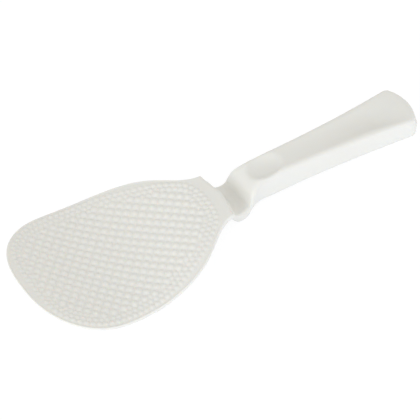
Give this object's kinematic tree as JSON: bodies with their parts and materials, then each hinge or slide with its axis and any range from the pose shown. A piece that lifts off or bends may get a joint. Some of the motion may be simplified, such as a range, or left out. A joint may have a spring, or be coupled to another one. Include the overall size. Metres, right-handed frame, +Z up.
{
  "type": "rice paddle",
  "caption": "Rice paddle with a broad, bump-faced curved blade, a bent neck that is also its foot, and a hollow, weighted handle that lets it rest on a table with the blade raised.",
  "frame": {"origin": "on the table, under the middle of the paddle's length and width as it rests on its foot and butt", "axes": "+X from the blade's tip to the handle's butt, +Y across the paddle, +Z up from the table"},
  "size_m": [0.2038, 0.0698, 0.021],
  "materials": {
    "body_plastic": "satin",
    "cover_plastic": "satin",
    "weight_steel": "zinc-plated"
  },
  "bodies": {
    "root": {"paddle_body": "body_plastic", "handle_cover": "cover_plastic", "balance_weight": "weight_steel"}
  },
  "joints": []
}
